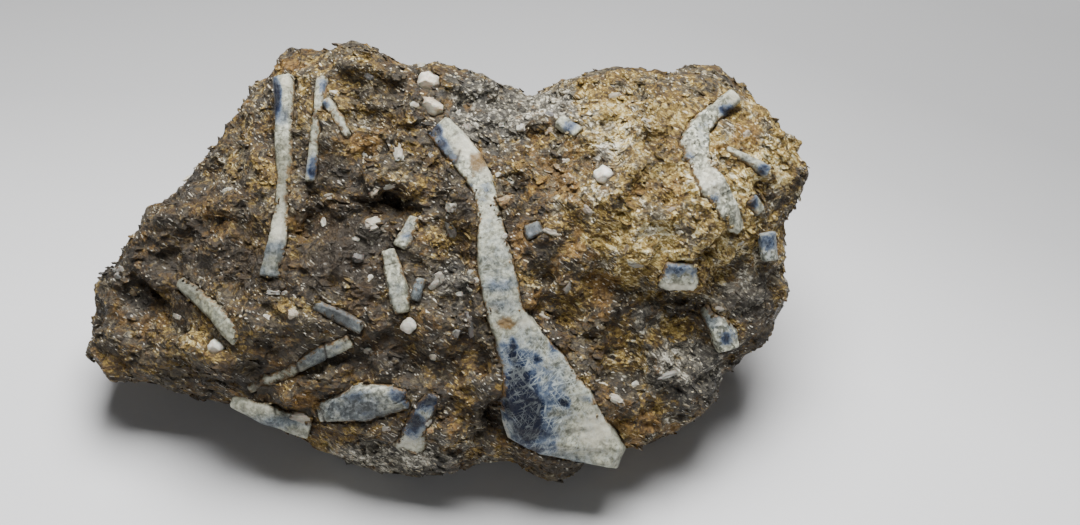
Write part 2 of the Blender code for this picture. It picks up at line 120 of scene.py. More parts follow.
# ---- node helpers
class Look:
    """A material or a sky in the making: each call adds a node and makes its links."""

    def __init__(self, name, group="materials"):
        self.owner = getattr(bpy.data, group).new(name)
        self.owner.use_nodes = True
        self.tree = self.owner.node_tree
        self.coords = self.add("TexCoord").outputs
        self.place = self.vector("SCALE", self.coords["Object"], scale=1 / MM)

    def add(self, kind, **settings):
        node = self.tree.nodes.new("ShaderNode" + kind)
        for key, value in settings.items():
            setattr(node, key, value)
        return node

    def put(self, socket, value):
        """Links a socket, or gives it a plain value."""
        if isinstance(value, bpy.types.NodeSocket):
            self.tree.links.new(value, socket)
        else:
            socket.default_value = value

    def put_all(self, node, values):
        for key, value in values.items():
            self.put(node.inputs[key], value)

    def math(self, operation, *values):
        node = self.add("Math", operation=operation)
        for socket, value in zip(node.inputs, values):
            self.put(socket, value)
        return node.outputs[0]

    def times(self, one, other):
        return self.math("MULTIPLY", one, other)

    def plus(self, total, *shares):
        """The total, with each (value, share) product added to it."""
        for value, share in shares:
            total = self.math("MULTIPLY_ADD", value, share, total)
        return total

    def larger(self, one, other):
        return self.math("MAXIMUM", one, other)

    def centred(self, value):
        """A value of 0 to 1, as -0.5 to 0.5."""
        return self.math("SUBTRACT", value, 0.5)

    def vector(self, operation, *values, scale=None):
        node = self.add("VectorMath", operation=operation)
        for socket, value in zip(node.inputs, values):
            self.put(socket, value)
        if scale is not None:
            self.put(node.inputs["Scale"], scale)
        return node.outputs["Value" if operation in ("DOT_PRODUCT", "LENGTH") else "Vector"]

    def noise(self, scale, detail=3, roughness=0.6, place=None, colour=False):
        node = self.add("TexNoise")
        self.put_all(node, {"Scale": scale, "Detail": detail, "Roughness": roughness})
        self.put(node.inputs["Vector"], place or self.place)
        return node.outputs["Color" if colour else "Fac"]

    def cells(self, place, scale):
        """Broken cells: their random colours, and the distance from their middles."""
        node = self.add("TexVoronoi")
        self.put_all(node, {"Vector": place, "Scale": scale})
        return node.outputs["Color"], node.outputs["Distance"]

    def parts(self, value, kind="Color"):
        """The three parts of a colour, or of a vector when the kind is XYZ."""
        node = self.add("Separate" + kind)
        self.put(node.inputs[0], value)
        return node.outputs

    def attribute(self, name):
        """What the mesh says at each point under a name, or 0."""
        return self.add("Attribute", attribute_name=name).outputs["Fac"]

    def step(self, value, low, high, start=0, end=1):
        """Goes softly from start to end while the value goes from low to high."""
        node = self.add("MapRange", interpolation_type="SMOOTHSTEP")
        limits = {"From Min": low, "From Max": high, "To Min": start, "To Max": end}
        self.put_all(node, {"Value": value, **limits})
        return node.outputs["Result"]

    def ramp(self, value, stops):
        """A colour for the value, from stops of (value, colour)."""
        node = self.add("ValToRGB")
        elements = node.color_ramp.elements
        while len(elements) < len(stops):
            elements.new(0.5)
        for element, (position, colour) in zip(elements, stops):
            element.position = position
            element.color = (*colour, 1)
        self.put(node.inputs["Fac"], value)
        return node.outputs["Color"]

    def mix(self, share, base, over):
        """The base colour with a share of another over it."""
        node = self.add("Mix", data_type="RGBA")
        self.put(node.inputs[0], share)
        for socket, value in ((node.inputs[6], base), (node.inputs[7], over)):
            self.put(socket, (*value, 1) if isinstance(value, tuple) else value)
        return node.outputs[2]

    def blend(self, base, over, value, low, high, most=1):
        """The base, with up to most of a colour over it as the value goes from low to high."""
        return self.mix(self.step(value, low, high, 0, most), base, over)

    def squeezed(self, direction, amount, warp):
        """Places drawn together across a direction of the part, and warped."""
        layer = self.vector("DOT_PRODUCT", self.place, direction)
        squeeze = self.vector("SCALE", direction, scale=self.times(layer, amount))
        bent = self.vector("SCALE", self.noise(0.22, colour=True), scale=warp)
        return self.vector("ADD", self.vector("ADD", self.place, squeeze), bent)

    def tilted(self, *turns):
        """The surface's normal turned by each (colour, amount); 0.5 is no turn."""
        normal = self.add("NewGeometry").outputs["Normal"]
        for colour, amount in turns:
            off = self.vector("SUBTRACT", colour, (0.5, 0.5, 0.5))
            normal = self.vector("ADD", normal, self.vector("SCALE", off, scale=amount))
        return self.vector("NORMALIZE", normal)

    def bump(self, height, distance, normal=None):
        """The normal over a height, where 1 is distance millimetres."""
        node = self.add("Bump")
        self.put_all(node, {"Height": height, "Distance": distance * MM, "Strength": 1})
        if normal is not None:
            self.put(node.inputs["Normal"], normal)
        return node.outputs["Normal"]

    def surface(self, values, shader="Principled BSDF"):
        """The material or sky, with these values of its shader."""
        self.put_all(self.tree.nodes[shader], values)
        return self.owner


# ---- the schist's material
# The rock's colours from dark to light, where it is brown, golden and grey.
EARTHY = [
    (0.04, (0.04, 0.035, 0.029)), (0.2, (0.048, 0.041, 0.031)), (0.34, (0.063, 0.05, 0.034)),
    (0.46, (0.086, 0.069, 0.043)), (0.58, (0.126, 0.104, 0.063)), (0.69, (0.22, 0.188, 0.118)),
    (0.8, (0.44, 0.395, 0.275)), (0.93, (0.9, 0.85, 0.69)),
]
AMBER = [
    (0.04, (0.042, 0.028, 0.016)), (0.2, (0.064, 0.04, 0.02)), (0.34, (0.096, 0.061, 0.025)),
    (0.46, (0.15, 0.096, 0.028)), (0.58, (0.254, 0.167, 0.042)), (0.7, (0.42, 0.3, 0.092)),
    (0.83, (0.65, 0.53, 0.235)), (0.96, (0.91, 0.85, 0.59)),
]
ASHEN = [
    (0.06, (0.036, 0.034, 0.03)), (0.26, (0.05, 0.046, 0.039)), (0.42, (0.078, 0.071, 0.058)),
    (0.58, (0.15, 0.138, 0.108)), (0.72, (0.33, 0.305, 0.24)), (0.9, (0.78, 0.75, 0.63)),
]
IRON_BROWN, IRON_ORANGE = (0.068, 0.033, 0.012), (0.34, 0.19, 0.048)
# Painted shade: in the gaps between the rock's chips, and over its dark patches, some of which are its own
# darker parts.
PAINTED_CREVICE_SHADE, HOLLOW_SHADE = (0.04, 0.03, 0.021), (0.036, 0.027, 0.018)
# Painted highlights of the mica glints, silvery and golden.
PAINTED_SILVER_GLINT, PAINTED_GOLDEN_GLINT = (0.85, 0.81, 0.68), (0.86, 0.72, 0.43)
BROKEN_ACROSS = part_way(0.45, 0.8, 0.4)
STREAK_LAYERS = [part_way(0.52, 0.8, 0.3), part_way(-0.35, 0.9, 0.3)]
SHEET_LAYERS = tuple(0.62 * x for x in FACE_TURN @ Vector((0.4, 0.85, 0.35)))
DARKER = 0.096  # how much darker all of the rock is than its parts add up to


def sheets(look, patch_colour):
    """Fine parallel layers, as in a stack of mica sheets: each patch has its own lie."""
    turn = look.vector("SUBTRACT", patch_colour, (0.5, 0.5, 0.5))
    lie = look.vector("NORMALIZE", look.vector("ADD", turn, SHEET_LAYERS))
    wave = look.times(look.noise(0.5), 2.2)
    depth = look.math("ADD", look.vector("DOT_PRODUCT", look.place, lie), wave)
    node = look.add("TexNoise", noise_dimensions="1D")
    look.put_all(node, {"W": depth, "Scale": 1.15, "Detail": 3, "Roughness": 0.75})
    return node.outputs["Fac"]


def streaks(look, side):
    """Thin streaks, which run one of two ways across the face, by the patch's own side."""
    one, other = (
        look.noise(0.8, detail=4, roughness=0.68, place=look.squeezed(way, 3.4, 7))
        for way in STREAK_LAYERS
    )
    share = look.step(side, 0.55, 0.65)
    return look.plus(one, (share, look.math("SUBTRACT", other, one)))


def glints(look):
    """Mica faces in clusters that catch the light: where they are, and how strong each is. Their bright
    colour is a painted highlight; their gloss is real.
    """
    colour, distance = look.cells(look.squeezed(BROKEN_ACROSS, 2.6, 5), 1.3)
    own = look.parts(colour)
    cluster = look.centred(look.noise(0.3))
    bright, golden = look.attribute("bright"), look.attribute("golden")
    shows = look.plus(own[0], (bright, 0.35), (golden, 0.08), (cluster, 0.75))
    middle = look.step(distance, 0.26, 0.46, 1, 0)
    shows = look.times(look.step(shows, 0.82, 0.89), middle)
    return shows, look.times(shows, look.step(own[1], 0.1, 1, 0.3, 0.95))


def schist_material(name, own_tone=False):
    """Mica schist, broken across its layers; loose plates also have a tone of their own."""
    look = Look(name)
    golden, grey_patch, dark = (look.attribute(key) for key in ("golden", "grey", "dark"))
    bent = look.noise(0.33, detail=5, roughness=0.65, colour=True)
    crooked = look.vector("ADD", look.place, look.vector("SCALE", bent, scale=7))
    patch_colour, _ = look.cells(crooked, 0.24)
    chip_colour, chip_distance = look.cells(crooked, 0.62)
    grain_colour, _ = look.cells(look.squeezed(BROKEN_ACROSS, 0.9, 5), 1.55)
    patch, chip, grain = map(look.parts, (patch_colour, chip_colour, grain_colour))
    layered = sheets(look, chip_colour)
    fine = look.noise(1.5, detail=6, roughness=0.78)

    # The dark patches lower the value as painted shade, some of them over the rock's own darker parts.
    value = look.plus(
        look.times(chip[0], 0.18), (patch[0], 0.22), (grain[0], 0.4),
        (look.centred(layered), 0.6), (look.centred(streaks(look, patch[2])), 0.85),
        (look.centred(fine), 0.62), (golden, 0.39), (dark, -0.1),
    )
    value = look.math("SUBTRACT", value, DARKER)
    if own_tone:
        value = look.math("ADD", value, look.attribute("tone"))

    warm = look.noise(0.2, detail=6, roughness=0.7)
    own = (look.centred(chip[1]), 0.14), (look.centred(grain[2]), 0.1)
    warm = look.plus(warm, (golden, 0.13), *own)
    colour = look.blend(look.ramp(value, EARTHY), look.ramp(value, AMBER), warm, 0.49, 0.6)
    mottle = look.centred(look.noise(0.32, detail=5, roughness=0.7))
    grey = look.plus(grey_patch, (mottle, 1.6), (look.centred(patch[1]), 0.35))
    ashen = look.ramp(look.plus(value, (grey_patch, 0.1)), ASHEN)
    colour = look.blend(colour, ashen, grey, 0.3, 0.6)

    rusty = look.noise(0.34, detail=6, roughness=0.68)
    rust = look.step(look.plus(rusty, (look.attribute("rust"), 0.26)), 0.56, 0.7)
    iron = look.blend(IRON_BROWN, IRON_ORANGE, fine, 0.35, 0.65)
    colour = look.mix(look.times(rust, 0.72), colour, iron)
    # Painted shade at the chips' borders and in the low parts of the layers.
    gap = look.larger(look.step(chip_distance, 0.66, 0.98), look.step(layered, 0.35, 0.24))
    colour = look.mix(look.times(gap, 0.26), colour, PAINTED_CREVICE_SHADE)
    shows, strong = glints(look)
    # The glints' bright colour is a painted highlight; the lower roughness and higher specular below are
    # real gloss.
    colour = look.mix(strong, colour, look.blend(PAINTED_SILVER_GLINT, PAINTED_GOLDEN_GLINT, warm, 0.47, 0.62))
    # Painted shade over the dark patches, some of which are the rock's own darker parts.
    colour = look.mix(look.times(dark, 0.64), colour, HOLLOW_SHADE)

    turned = look.tilted((patch_colour, 0.3), (chip_colour, 0.45), (grain_colour, 0.7))
    height = look.plus(look.times(fine, 0.7), (layered, 0.9))
    return look.surface({
        "Base Color": colour,
        "Roughness": look.step(look.larger(grain[1], shows), 0.6, 0.95, 0.74, 0.22),
        "Normal": look.bump(height, 0.4, turned),
        "Specular IOR Level": look.step(shows, 0.1, 0.8, 0.32, 0.95),
    })


# ---- the crystals' material
# The crystals' colours from dark to light, where they are pale and hazy, and by depth of blue.
PALE_TONES = [
    (0.24, (0.12, 0.12, 0.088)), (0.4, (0.25, 0.252, 0.188)), (0.52, (0.39, 0.39, 0.3)),
    (0.68, (0.56, 0.56, 0.43)), (0.88, (0.8, 0.8, 0.665)),
]
HAZE_TONES = [
    (0.28, (0.04, 0.052, 0.066)), (0.5, (0.1, 0.124, 0.146)), (0.78, (0.33, 0.37, 0.385)),
]
DARK_GREEN, LIGHT_GREEN = (0.085, 0.085, 0.05), (0.24, 0.235, 0.145)
BLUE_TONES = [
    (0.14, (0.3, 0.35, 0.42)), (0.28, (0.145, 0.18, 0.235)), (0.42, (0.054, 0.077, 0.122)),
    (0.56, (0.01, 0.02, 0.052)), (0.76, (0.001, 0.003, 0.016)),
]
CREAM_TONE, AMBER_STAIN = (0.67, 0.635, 0.5), (0.165, 0.09, 0.022)
SCRATCH_TONE, CRACK_TONE = (0.5, 0.55, 0.52), (0.03, 0.022, 0.016)
# The first darkens the crystals near the rock; the second is painted shade, also over some of their own
# darker places.
EDGE_TONE, SHADE_AND_DARK_TONE = (0.105, 0.09, 0.058), (0.045, 0.044, 0.04)
CRUMB_BROWN, CRUMB_AMBER = (0.06, 0.036, 0.019), (0.23, 0.145, 0.062)
# Each tint: how uneven its rim is, the amounts where it begins and is full, and its most.
TINT_RIMS = {
    "cream": (1.2, 0.2, 0.8, 0.66), "haze": (1.4, 0.1, 0.9, 0.92),
    "green": (0.8, 0.2, 0.9, 0.85), "rust": (1.6, 0.25, 0.9, 0.85),
}
SCRATCHES = [(46, 0), (130, 9), (12, 17), (80, 31)]  # degrees, and where the noise is cut


def tinted(look, colour, name, tone, mottle):
    """The colour with the painted patches of one tint over it."""
    uneven, low, high, most = TINT_RIMS[name]
    amount = look.plus(look.attribute(name), (mottle, uneven))
    return look.blend(colour, tone, amount, low, high, most)


def scratches(look, degrees, cut):
    """Fine lines that run across the face at an angle."""
    node = look.add("CombineXYZ")
    ways = way_at(degrees), way_at(degrees + 90, 0.4)
    for socket, way, scale in zip(node.inputs, ways, (0.1, 0.95)):
        look.put(socket, look.times(look.vector("DOT_PRODUCT", look.place, tuple(way)), scale))
    look.put(node.inputs["Z"], cut)
    wave = look.noise(1, detail=1.6, roughness=0.5, place=node.outputs[0])
    return look.step(look.math("ABSOLUTE", look.centred(wave)), 0, 0.032, 1, 0)


def crystal_tone(look, mottle, grain, blueness):
    """The crystal's own colour and its depth of blue: pale and granular, then tinted."""
    sugar_colour, _ = look.cells(look.place, 2.3)
    sugary = look.plus(0.08, (look.attribute("sugar"), 0.55))
    speckled = look.plus(grain, (look.centred(look.parts(sugar_colour)[0]), sugary))
    slow = look.noise(0.28)
    speckled = look.plus(0.48, (look.centred(speckled), 1.35))
    speckled = look.math("ADD", speckled, look.step(slow, 0.46, 0.74, 0, -0.17))
    colour = look.ramp(speckled, PALE_TONES)
    colour = tinted(look, colour, "cream", CREAM_TONE, mottle)
    colour = tinted(look, colour, "haze", look.ramp(speckled, HAZE_TONES), mottle)
    green = look.blend(DARK_GREEN, LIGHT_GREEN, speckled, 0.3, 0.7)
    colour = tinted(look, colour, "green", green, mottle)
    blue, navy = look.attribute("blue"), look.attribute("navy")
    depth = look.plus(look.times(mottle, 0.65), (blue, 0.52), (navy, 0.62))
    depth = look.plus(look.math("ADD", depth, blueness), (look.centred(speckled), 0.36))
    return look.blend(colour, look.ramp(depth, BLUE_TONES), depth, 0.15, 0.4, 0.97), depth


def sapphire_material(name, blueness):
    """Altered sapphire: pale, cloudy and cracked, with blue left in patches."""
    look = Look(name)
    mottle = look.centred(look.noise(0.85, detail=6, roughness=0.68))
    grain = look.noise(1.3, detail=6, roughness=0.66)
    colour, depth = crystal_tone(look, mottle, grain, blueness)

    lines = 0
    for degrees, cut in SCRATCHES:
        lines = look.larger(lines, scratches(look, degrees, cut))
    lines = look.times(lines, look.step(look.noise(0.7, detail=4), 0.38, 0.58))
    lines = look.times(lines, look.step(depth, 0.3, 0.85, 0.66, 0.2))
    lines = look.times(lines, look.plus(0.25, (look.attribute("lined"), 0.75)))
    colour = look.mix(lines, colour, SCRATCH_TONE)
    colour = tinted(look, colour, "rust", AMBER_STAIN, mottle)
    colour = look.mix(look.times(look.attribute("crack"), 0.85), colour, CRACK_TONE)

    edge = look.attribute("edge")
    colour = look.blend(colour, EDGE_TONE, edge, 0.35, 1, 0.4)
    crumbs = look.centred(look.noise(1.5, detail=5, roughness=0.75))
    over = look.step(look.plus(edge, (crumbs, 2.6)), 0.7, 0.82, 0, 0.9)
    over = look.larger(over, look.step(crumbs, 0.17, 0.23, 0, 0.5))
    colour = look.mix(over, colour, look.blend(CRUMB_BROWN, CRUMB_AMBER, grain, 0.4, 0.6))
    # Painted shade, also over some of the crystal's own darker places.
    colour = look.mix(look.times(look.attribute("shade_and_dark"), 0.85), colour, SHADE_AND_DARK_TONE)
    height = look.plus(look.times(lines, 0.2), (grain, 0.7), (crumbs, 0.7))
    return look.surface({
        "Base Color": colour,
        "Roughness": look.step(grain, 0.3, 0.7, 0.46, 0.24),
        "Normal": look.bump(height, 0.16),
        "Specular IOR Level": 0.22,
        "Subsurface Weight": 0.12,
        "Subsurface Radius": (0.9, 1, 1.1),
        "Subsurface Scale": 0.5 * MM,
    })


# ---- other materials
WHITE_GRAIN = [
    (0.28, (0.46, 0.43, 0.33)), (0.44, (0.82, 0.79, 0.66)), (0.6, (0.93, 0.92, 0.84)),
]
AMBER_GRAIN = [
    (0.3, (0.2, 0.09, 0.02)), (0.5, (0.4, 0.23, 0.065)), (0.7, (0.62, 0.47, 0.24)),
]
LILAC_GREY, GRAIN_STAIN = (0.115, 0.125, 0.145), (0.34, 0.2, 0.06)
GRAIN_SHADE = (0.095, 0.078, 0.052)

SKY = (0.88, 0.92, 1, 1)
BACKDROP, OVERHEAD = 0.3, 0.045  # how bright the far floor and horizon are, and the sky above
FAR_FLOOR = (200, 900)  # how far out the floor begins to glow, and is as bright as the horizon
# The floor's tones from front to back; on its right, the shade comes nearer.
FLOOR_TONES = ((0.04, 0.68), (0.3, 0.6), (0.44, 0.49), (0.6, 0.34), (0.75, 0.26), (0.94, 0.22))
SHADE_FROM, SHADE_LENGTH, SHADE_RIGHT, SHADE_NEARER = -40, 160, (20, 130), 42


def feldspar_material():
    """Pale grains: a tint of -1 is lilac-grey, 0 white and 1 amber."""
    look = Look("feldspar")
    grain = look.noise(1.8, detail=6, roughness=0.7)
    tint = look.attribute("tint")
    amber = look.ramp(grain, AMBER_GRAIN)
    colour = look.blend(look.ramp(grain, WHITE_GRAIN), amber, tint, 0, 1)
    colour = look.blend(colour, LILAC_GREY, look.times(tint, -1), 0, 1)
    colour = look.blend(colour, GRAIN_STAIN, look.noise(0.9, detail=4), 0.56, 0.72, 0.5)
    return look.surface({
        "Base Color": look.mix(look.attribute("shade"), colour, GRAIN_SHADE),
        "Roughness": look.step(grain, 0.3, 0.7, 0.55, 0.3),
        "Normal": look.bump(grain, 0.18),
        "Subsurface Weight": 0.15,
        "Subsurface Scale": 0.6 * MM,
    })


def floor_material():
    """Pale paper that goes into shade behind the specimen, and glows evenly far away."""
    look = Look("floor")
    right, back, _ = look.parts(look.place, "XYZ")
    aside = look.step(right, *SHADE_RIGHT, 0, SHADE_NEARER)
    back = look.math("SUBTRACT", look.math("ADD", back, aside), SHADE_FROM)
    back = look.math("DIVIDE", back, SHADE_LENGTH)
    tones = [(at, (tone, tone, tone * 1.01)) for at, tone in FLOOR_TONES]
    far = look.vector("LENGTH", look.place)
    return look.surface({
        "Base Color": look.ramp(back, tones),
        "Roughness": 0.6,
        "Emission Color": SKY,
        "Emission Strength": look.step(far, *FAR_FLOOR, 0, BACKDROP),
    })


# ---- meshes
def new_object(name, data):
    obj = bpy.data.objects.new(name, data)
    bpy.context.scene.collection.objects.link(obj)
    return obj


def remeshed(node, voxel, name):
    """A copy of a CAD node's mesh with even faces of about voxel millimetres."""
    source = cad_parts[node]
    obj = new_object(name, source.data.copy())
    obj.matrix_world = source.matrix_world.copy()
    remesh = obj.modifiers.new("remesh", "REMESH")
    remesh.mode = "VOXEL"
    remesh.voxel_size = voxel * MM
    graph = bpy.context.evaluated_depsgraph_get()
    mesh = bpy.data.meshes.new_from_object(obj.evaluated_get(graph))
    obj.modifiers.clear()
    obj.data = mesh
    return obj


def points_of(mesh, key="co"):
    """The mesh's points, or their "normal" vectors, as an array (n, 3)."""
    values = np.empty(len(mesh.vertices) * 3)
    mesh.vertices.foreach_get(key, values)
    return values.reshape(-1, 3)


def moved_out(mesh, moves):
    """The mesh's points, each moved out along its normal by its own millimetres."""
    return points_of(mesh) + points_of(mesh, "normal") * np.array(moves)[:, None] * MM


def set_points(mesh, points):
    mesh.vertices.foreach_set("co", points.ravel())
    mesh.update()


def set_attribute(mesh, name, values):
    layer = mesh.attributes.new(name, "FLOAT", "POINT")
    layer.data.foreach_set("value", np.array(values, dtype=np.float32))


def facets(place, step, slant):
    """How high a broken surface is: a step and a slant for each of its cells."""
    nearest = noise.voronoi(place)[1][0]
    own = noise.cell_vector(nearest * 7.3) - Vector((0.5, 0.5, 0.5))
    return step * own.x + slant * Vector((own.y, own.z, own.x)).dot(place - nearest)


def surfaces_of(meshes):
    """One search tree over the surfaces of several meshes."""
    points, faces = [], []
    for mesh in meshes:
        first = len(points)
        points += [vert.co.copy() for vert in mesh.vertices]
        faces += [[first + i for i in face.vertices] for face in mesh.polygons]
    return BVHTree.FromPolygons(points, faces)


def gaps_to(tree, points, most):
    """How many millimetres each point is from a surface, and at most this many."""
    gaps = [tree.find_nearest(Vector(point), most * MM)[3] for point in points]
    return np.array([most if gap is None else gap / MM for gap in gaps])


def nearness(tree, points, reach):
    """For each point, 1 on the surface, down to 0 from reach millimetres away."""
    return np.clip(1 - gaps_to(tree, points, reach) / reach, 0, 1)


def finish_piece(obj, node, material):
    """Gives a piece its material, hangs it under the root body, and hides the CAD node that it stands in
    for.
    """
    obj.data.materials.clear()
    obj.data.materials.append(material)
    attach(obj, "root")
    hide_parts(node)


# ---- the rock
# Patches of the rock's colours: u, v, reach along u and along v, amount.
GOLDEN = [
    (28, 20, 20, 10, 0.76), (41, 11, 10, 15, 1), (23, 8, 9, 7, 0.85), (30, 3, 9, 6, 1.15),
    (49, 17, 5, 7, 1.1), (-16, 25, 9, 7, 0.62), (-8, 18, 6, 6, 0.4), (-28, 10, 8, 8, 0.35),
    (-40, -10, 8, 4, 0.5), (46, 22, 8, 8, 0.8), (-1, 5, 4, 3, 0.8), (-35, -8, 5, 4, 0.4),
    (32, -23, 8, 3, 0.35), (-33, 17, 5, 6, 0.45), (-24, -6, 5, 3, 0.5), (27, -1, 6, 4, 1.1),
    (36, -2, 6, 3, 0.7), (27, -24, 9, 3, 0.45), (-12, -28, 14, 3, 0.7), (-2, -20, 8, 6, 0.1),
    (31, -12, 9, 6, 0.6), (17, -4, 6, 5, 0.45),
]
GREY = [
    (6, 24, 9, 6, 1), (16, 25, 6, 4, 0.65), (34, -15, 10, 6, 0.8), (45, -4, 6, 6, 0.7), (-1, -2, 5, 4, 0.7),
    (-48, -5, 6, 6, 0.4), (-8, -28.5, 16, 2.8, 1), (22, 20, 8, 5, 0.5), (30, -7, 4, 2.5, 0.8),
    (-12, 3, 5, 5, 0.5), (28, -17, 6, 3, 0.6),
]
RUSTY = [
    (23, -3, 2.5, 4, 0.9), (22, 1.5, 2, 3, 0.8), (18.8, 3.4, 2, 3, 0.7), (-25, 30.5, 3, 1.2, 1),
    (-14, 19, 4, 2, 0.8), (-22.6, 6.5, 2, 3, 0.8), (-22.6, -19.6, 2.4, 1.2, 1), (16, 14, 7, 4, 0.6),
    (-45, -8, 5, 2, 0.6), (26, -24, 7, 2, 0.9), (10.5, 3.5, 1.5, 4, 0.8), (12, -4, 3, 3, 0.5),
    (-34, 8, 5, 4, 0.4), (4, 9, 2, 2, 0.5), (31, 12, 6, 3, 0.4), (44.7, 20, 4, 3, 0.6),
]
# Where more mica glints show, with their painted highlight colour and real gloss.
BRIGHT = [
    (-16, 25, 10, 7, 0.5), (28, 3, 8, 6, 0.45), (26, 26, 12, 5, 0.35), (2, -1, 4, 4, 0.4),
    (6, 22, 8, 6, 0.5), (44, 8, 8, 10, 0.25), (-10, -28, 12, 2.5, 0.35),
]
# Painted shade where the rock lies in shade, the pit among those places, and some of its own darker parts.
DARK = [
    (2.3, 5, 1.6, 5, 0.9), (-30, -14, 12, 4, 0.3), (45, -4, 6, 5, 0.7), (-10, -12, 12, 6, 0.45),
    (-46, -12, 8, 4, 0.3), (24, -4.5, 12, 1.6, 0.3), (0, 10, 3, 4, 0.4), (-45, -6, 8, 8, 0.65),
    (14, 3, 4, 5, 0.4), (-20, 17, 5, 5, 0.7), (-30, 2, 8, 8, 0.95), (13, -2, 3, 5, 0.1),
    (-17, 3, 8, 8, 1.15), (-40, 4, 9, 9, 0.65), (-15, 24, 9, 6, 0.5), (0, -4, 5, 6, 0.25),
    (-34, 10, 7, 6, 0.55), (31.4, 22.2, 3.5, 2.6, 0.5), (30, 15, 4.5, 2.6, 0.55),
    (50.5, 12.5, 3, 2.5, 0.45), (38, 4.4, 2.5, 2.5, 0.45), (20, 17, 4, 2, 0.35),
]
# The patches by their names, and how much of each there is away from the front.
PATCHES = {
    "golden": (GOLDEN, 0.34), "grey": (GREY, 0.22), "rust": (RUSTY, 0.25),
    "bright": (BRIGHT, 0.1), "dark": (DARK, 0),
}
FRONT_FROM, FRONT_OVER = -14, 10  # the depth w at which the front begins, and over how much
# Hollows that are filled with broken rock: u, v, reach along u and v, height.
FILLS = [
    (7.2, -22.4, 2.4, 4.5, 1.5), (-34.4, 8.4, 2.6, 1.6, 1), (-44.5, -3, 4, 2.2, 0.8),
    (-15.5, 9.4, 4, 1.3, 1.5), (-9.2, 9.9, 2.6, 1.8, 0.6), (-6.3, 11.7, 1.9, 1.3, 1.4),
    (-5.6, 10.2, 1.8, 1.1, 1.6),
]
ROCK_VOXEL = 0.52
REST_HEIGHT = 0.3  # what is lower stays flat on the floor
EVEN_NEAR, ROUGH_OVER = 0.4, 1.4  # near a crystal the rock is even, and gets rough over this
LAYERING = 0.9  # how much closer the broken faces are across the layers
CHUNK, CHIP, LARGEST_MOVE = 3, 1.3, 0.6


def roughen(face_points, strength):
    """How far each face-frame point of the rock moves out, in millimetres."""
    moves = np.zeros(len(face_points))
    for index, (row, strong) in enumerate(zip(face_points, strength)):
        point = Vector(row)
        flat = point + FOLIATION * (LAYERING * point.dot(FOLIATION))
        move = 0.4 * noise.fractal(point / 5, 0.7, 2, 3)
        move += facets(flat / CHUNK, 0.36, 0.66)
        move = min(max(move, -LARGEST_MOVE), LARGEST_MOVE) + facets(flat / CHIP, 0.16, 0.32)
        swell = 0.22 + 0.6 * noise.noise(point / 1.2)
        moves[index] = move * strong + swell * (1 - strong)
    return moves


def paint_patches(mesh, face):
    """The rock's patches of colour, as attributes; away from the front they are even."""
    places = seen_places(face)
    front = np.clip((face[:, 2] - FRONT_FROM) / FRONT_OVER, 0, 1)
    for name, (patches, elsewhere) in PATCHES.items():
        set_attribute(mesh, name, spots(places, patches) * front + elsewhere * (1 - front))


def make_rock(crystals):
    """The lump of schist, broken into small faces, with its patches of colour."""
    obj = remeshed("matrix", ROCK_VOXEL, "rock")
    mesh = obj.data
    points = points_of(mesh)
    face = to_face(points)
    strength = np.clip((gaps_to(crystals, points, 3) - EVEN_NEAR) / ROUGH_OVER, 0, 1)
    on_floor = points[:, 2] < REST_HEIGHT * MM
    filled = spots(seen_places(face), FILLS) * (face[:, 2] > 0) * strength
    moved = moved_out(mesh, np.where(on_floor, 0, roughen(face, strength) + filled))
    moved[:, 2] = np.maximum(moved[:, 2], 0)
    set_points(mesh, moved)
    paint_patches(mesh, to_face(moved))
    mesh.shade_flat()
    finish_piece(obj, "matrix", schist_material("schist"))
    return obj


# ---- loose plates and crumbs
FLAKES, FLAKES_FROM, FLAKE_SEED = 3200, 2.5, 7  # how many are tried, above which height
PLATE_SIDES = 6
PLATE_CORNERS = 2 * PLATE_SIDES
CRUMB_REACH, CRUMBS_FROM, CRUMB_SEED = 0.8, -0.2, 21


def plate_rings(chance, centres, normals, long_ways, sizes, thick):
    """The two rings of corners of each broken plate, as (n, 2, sides, 3)."""
    count = len(centres)
    turn = chance.random((count, 1)) * math.tau
    angles = turn + (np.arange(PLATE_SIDES) + chance.random((count, PLATE_SIDES)) * 0.6)
    angles = angles * math.tau / PLATE_SIDES
    radius = sizes[:, None] * (0.65 + 0.35 * chance.random((count, PLATE_SIDES)))
    side_ways = np.cross(normals, long_ways)
    stretch = 1.2 + chance.random((count, 1))
    along, across = radius * np.cos(angles) * stretch, radius * np.sin(angles)
    flat = along[..., None] * long_ways[:, None] + across[..., None] * side_ways[:, None]
    rings = np.empty((count, 2, PLATE_SIDES, 3))
    for level, (share, lift) in enumerate(((1, 0.5), (0.82, -0.5))):
        offset = (normals * (lift * thick)[:, None])[:, None]
        rings[:, level] = centres[:, None] + flat * share + offset
    return rings


def plates_mesh(name, rings):
    """One mesh of closed plates from their two rings."""
    faces = []
    for first in range(0, len(rings) * PLATE_CORNERS, PLATE_CORNERS):
        second = first + PLATE_SIDES
        faces.append([first + i for i in range(PLATE_SIDES)])
        faces.append([second + i for i in reversed(range(PLATE_SIDES))])
        for i in range(PLATE_SIDES):
            after = (i + 1) % PLATE_SIDES
            faces.append([first + i, second + i, second + after, first + after])
    mesh = bpy.data.meshes.new(name)
    mesh.from_pydata(rings.reshape(-1, 3), [], faces)
    return mesh


def make_plates(name, rings, tones, material):
    """A piece of loose plates, from their face-frame rings and their own tones."""
    rings = from_face(rings.reshape(-1, 3)).reshape(rings.shape)
    mesh = plates_mesh(name, rings)
    middles = to_face(rings.mean(axis=(1, 2)))
    paint_patches(mesh, np.repeat(middles, PLATE_CORNERS, axis=0))
    set_attribute(mesh, "tone", np.repeat(tones, PLATE_CORNERS))
    finish_piece(new_object(name, mesh), "matrix", material)


